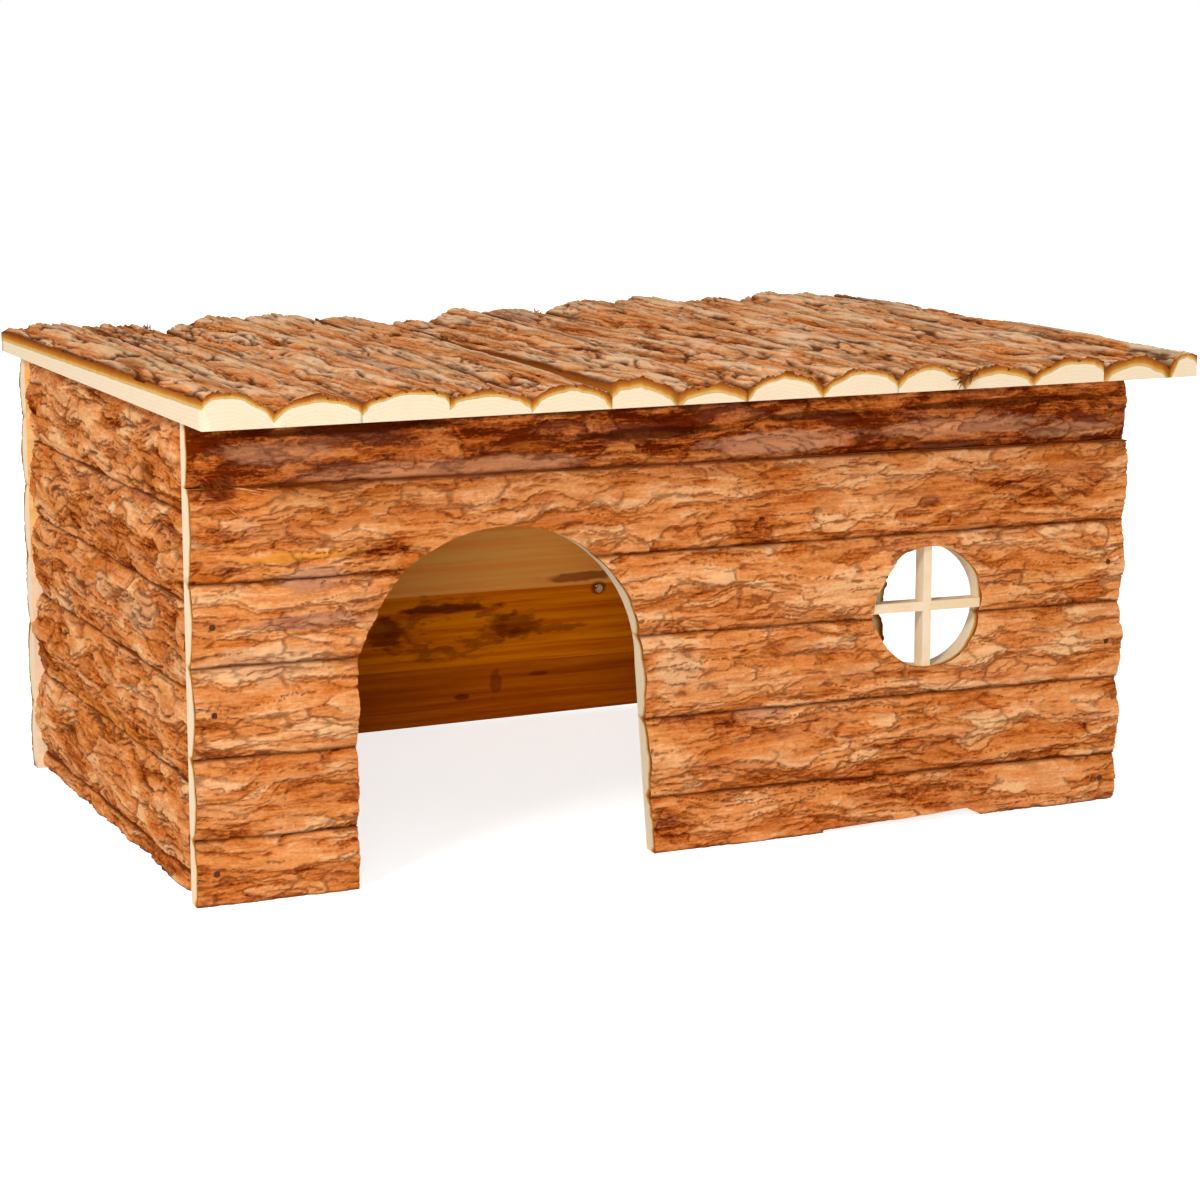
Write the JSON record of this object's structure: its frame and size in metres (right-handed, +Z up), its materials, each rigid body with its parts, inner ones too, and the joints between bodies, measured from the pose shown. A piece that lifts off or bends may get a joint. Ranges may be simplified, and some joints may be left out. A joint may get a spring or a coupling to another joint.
{
  "type": "wooden hamster house",
  "caption": "Flat-roofed small-pet house of half-log bark boards, with an arched front door, an arched side door and a round cross-barred window.",
  "frame": {"origin": "on the ground, under the middle of the roof's plan", "axes": "+X along the front from left to right seen from the front, +Y from the front to the back, +Z up"},
  "size_m": [0.4206, 0.2968, 0.1972],
  "materials": {
    "roof_bark_board": "raw half-log with bark",
    "wall_bark_board": "raw half-log with bark",
    "planed_stick": "planed, unfinished",
    "brad_steel": "plain wire"
  },
  "bodies": {
    "root": {"back_board_1": "wall_bark_board", "back_board_2": "wall_bark_board", "back_board_3": "wall_bark_board", "back_board_4": "wall_bark_board", "back_board_5": "wall_bark_board", "back_board_6": "wall_bark_board", "back_wall_brads": "brad_steel", "front_board_1": "wall_bark_board", "front_board_2": "wall_bark_board", "front_board_3_left": "wall_bark_board", "front_board_3_right": "wall_bark_board", "front_board_4_left": "wall_bark_board", "front_board_4_right": "wall_bark_board", "front_board_5_left": "wall_bark_board", "front_board_5_right": "wall_bark_board", "front_board_6_left": "wall_bark_board", "front_board_6_right": "wall_bark_board", "front_wall_brads": "brad_steel", "left_side_board_1": "wall_bark_board", "left_side_board_2": "wall_bark_board", "left_side_board_3": "wall_bark_board", "left_side_board_4": "wall_bark_board", "left_side_board_5": "wall_bark_board", "left_side_board_6": "wall_bark_board", "right_side_board_1": "wall_bark_board", "right_side_board_2": "wall_bark_board", "right_side_board_3": "wall_bark_board", "right_side_board_4_front": "wall_bark_board", "right_side_board_4_rear": "wall_bark_board", "right_side_board_5_front": "wall_bark_board", "right_side_board_5_rear": "wall_bark_board", "right_side_board_6_front": "wall_bark_board", "right_side_board_6_rear": "wall_bark_board", "roof_board_01": "roof_bark_board", "roof_board_02": "roof_bark_board", "roof_board_03": "roof_bark_board", "roof_board_04": "roof_bark_board", "roof_board_05": "roof_bark_board", "roof_board_06": "roof_bark_board", "roof_board_07": "roof_bark_board", "roof_board_08": "roof_bark_board", "roof_board_09": "roof_bark_board", "roof_board_10": "roof_bark_board", "roof_board_11": "roof_bark_board", "roof_board_12": "roof_bark_board", "roof_board_13": "roof_bark_board", "roof_board_14": "roof_bark_board", "roof_brads": "brad_steel", "window_bar_level": "planed_stick", "window_bar_upright": "planed_stick"}
  },
  "joints": []
}
